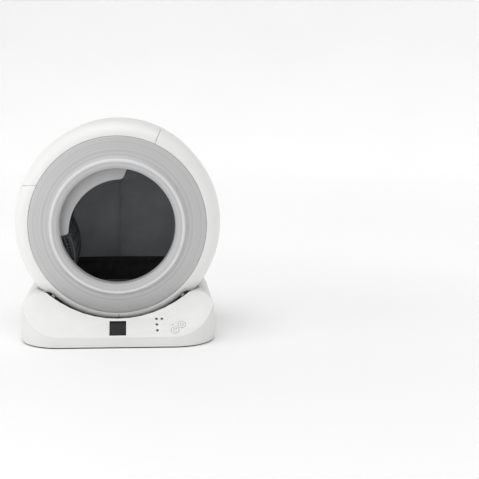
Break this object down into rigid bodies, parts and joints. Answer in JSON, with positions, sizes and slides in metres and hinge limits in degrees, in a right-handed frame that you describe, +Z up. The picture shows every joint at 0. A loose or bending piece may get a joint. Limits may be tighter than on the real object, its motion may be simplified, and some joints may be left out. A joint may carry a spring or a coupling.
{
  "type": "self cleaning litter box",
  "caption": "Round litter drum with a grey front ring and entry hole, turning on rollers in a moulded white base with a display, lights and keys.",
  "frame": {"origin": "centre of the footprint, on the floor under the feet", "axes": "+X to the right side seen from the front, +Y to the back, +Z up; the drum turns about a line along Y"},
  "size_m": [0.53, 0.41, 0.555],
  "materials": {
    "white_abs": "fine moulded satin",
    "ring_grey_abs": "satin with fine concentric marks",
    "light_grey_abs": "moulded satin",
    "dark_grey_abs": "moulded satin",
    "black_abs": "moulded satin",
    "black_rubber": "matt",
    "display_acrylic": "smoked gloss",
    "acetal": "natural",
    "steel": "bright",
    "circuit_board": "lacquered"
  },
  "bodies": {
    "base": {"base_top_shell": "white_abs", "base_bottom_pan": "light_grey_abs", "foot_front_left": "black_rubber", "foot_front_right": "black_rubber", "foot_rear_left": "black_rubber", "foot_rear_right": "black_rubber", "load_cell_front_left": "steel", "load_cell_front_right": "steel", "load_cell_rear_left": "steel", "load_cell_rear_right": "steel", "roller_bracket_front_left": "light_grey_abs", "roller_bracket_front_right": "light_grey_abs", "roller_bracket_rear_left": "light_grey_abs", "roller_bracket_rear_right": "light_grey_abs", "axle_front_left": "steel", "axle_front_right": "steel", "axle_rear_left": "steel", "axle_rear_right": "steel", "gearbox": "dark_grey_abs", "motor": "steel", "display_window": "display_acrylic", "power_key_switch": "black_abs", "clean_key_switch": "black_abs", "indicator_power": "display_acrylic", "indicator_network": "display_acrylic", "indicator_clean": "display_acrylic", "indicator_bin": "display_acrylic", "status_dot": "display_acrylic", "control_board": "circuit_board", "power_inlet": "black_abs"},
    "drum": {"drum_front_shell": "white_abs", "drum_rear_shell": "white_abs", "front_ring": "ring_grey_abs", "ring_gear": "acetal", "chamber_left": "dark_grey_abs", "chamber_right": "dark_grey_abs", "litter_liner": "black_rubber", "sieve": "black_abs", "bin_housing": "light_grey_abs"},
    "waste_bin": {"bin_cover": "white_abs", "waste_tray": "dark_grey_abs"},
    "front_left_roller": {"roller_front_left": "black_rubber"},
    "front_right_roller": {"roller_front_right": "black_rubber"},
    "rear_left_roller": {"roller_rear_left": "black_rubber"},
    "rear_right_roller": {"roller_rear_right": "black_rubber"},
    "pinion": {"drive_pinion": "acetal", "pinion_shaft": "steel"},
    "power_key_cap": {"power_key": "white_abs"},
    "clean_key_cap": {"clean_key": "white_abs"}
  },
  "joints": [
    {"name": "drum_turn", "type": "hinge", "parent": "base", "child": "drum", "pos_m": [0, 0, 0.29], "axis": [0, -1, 0], "range_deg": [-30, 330]},
    {"name": "bin_slide", "type": "slide", "parent": "drum", "child": "waste_bin", "axis": [-0.3827, 0, 0.9239], "range_m": [0, 0.2]},
    {"name": "front_left_roller_spin", "type": "hinge", "parent": "base", "child": "front_left_roller", "pos_m": [-0.19048, -0.014, 0.08573], "axis": [0, -1, 0], "continuous": true},
    {"name": "front_right_roller_spin", "type": "hinge", "parent": "base", "child": "front_right_roller", "pos_m": [0.19048, -0.014, 0.08573], "axis": [0, -1, 0], "continuous": true},
    {"name": "rear_left_roller_spin", "type": "hinge", "parent": "base", "child": "rear_left_roller", "pos_m": [-0.19048, 0.14, 0.08573], "axis": [0, -1, 0], "continuous": true},
    {"name": "rear_right_roller_spin", "type": "hinge", "parent": "base", "child": "rear_right_roller", "pos_m": [0.19048, 0.14, 0.08573], "axis": [0, -1, 0], "continuous": true},
    {"name": "pinion_spin", "type": "hinge", "parent": "base", "child": "pinion", "pos_m": [0.17239, 0.094, 0.06936], "axis": [0, -1, 0], "continuous": true},
    {"name": "power_key_press", "type": "slide", "parent": "base", "child": "power_key_cap", "axis": [0, 0.6691, -0.7431], "range_m": [0, 0.0012], "stiffness_N_per_m": 1500, "springref_m": -0.0004},
    {"name": "clean_key_press", "type": "slide", "parent": "base", "child": "clean_key_cap", "axis": [0, 0.6691, -0.7431], "range_m": [0, 0.0012], "stiffness_N_per_m": 1500, "springref_m": -0.0004}
  ],
  "couplings": [
    {"joint": "front_left_roller_spin", "follows": "drum_turn", "ratio": -18.929},
    {"joint": "front_right_roller_spin", "follows": "drum_turn", "ratio": -18.929},
    {"joint": "rear_left_roller_spin", "follows": "drum_turn", "ratio": -18.929},
    {"joint": "rear_right_roller_spin", "follows": "drum_turn", "ratio": -18.929},
    {"joint": "pinion_spin", "follows": "drum_turn", "ratio": -10.667}
  ]
}
